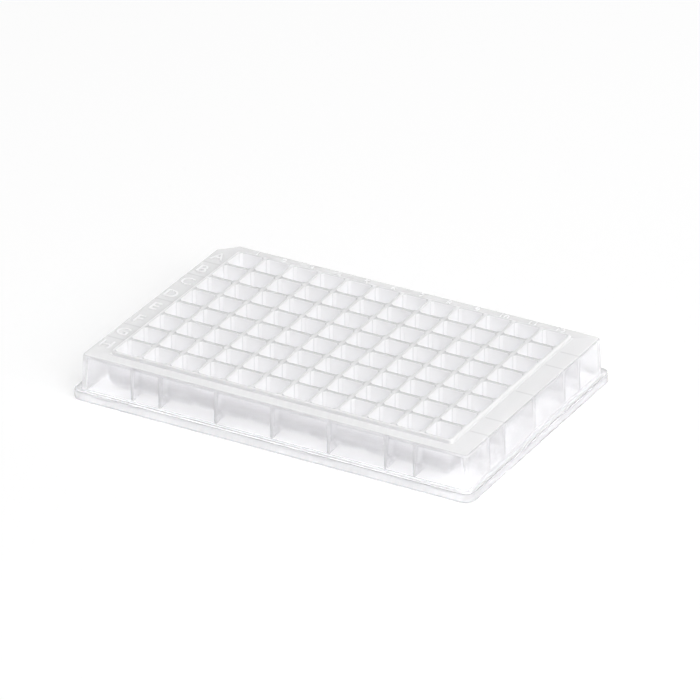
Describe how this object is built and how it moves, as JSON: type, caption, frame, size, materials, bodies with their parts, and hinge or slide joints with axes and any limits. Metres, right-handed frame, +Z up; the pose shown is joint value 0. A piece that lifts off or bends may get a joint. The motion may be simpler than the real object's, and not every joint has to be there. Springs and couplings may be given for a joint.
{
  "type": "well plate",
  "caption": "Shallow laboratory plate moulded in one piece of translucent plastic, with a grid of square wells, a stepped skirt to stand on and one cut corner.",
  "frame": {"origin": "middle of the base plane that the plate stands on", "axes": "+Z up out of the wells, +X along the columns from 1 to 12, +Y from row H towards row A"},
  "size_m": [0.1278, 0.0854, 0.0143],
  "materials": {
    "natural_polypropylene": "translucent natural polypropylene, smooth moulded surface"
  },
  "bodies": {
    "root": {"well_plate": "natural_polypropylene"}
  },
  "joints": []
}
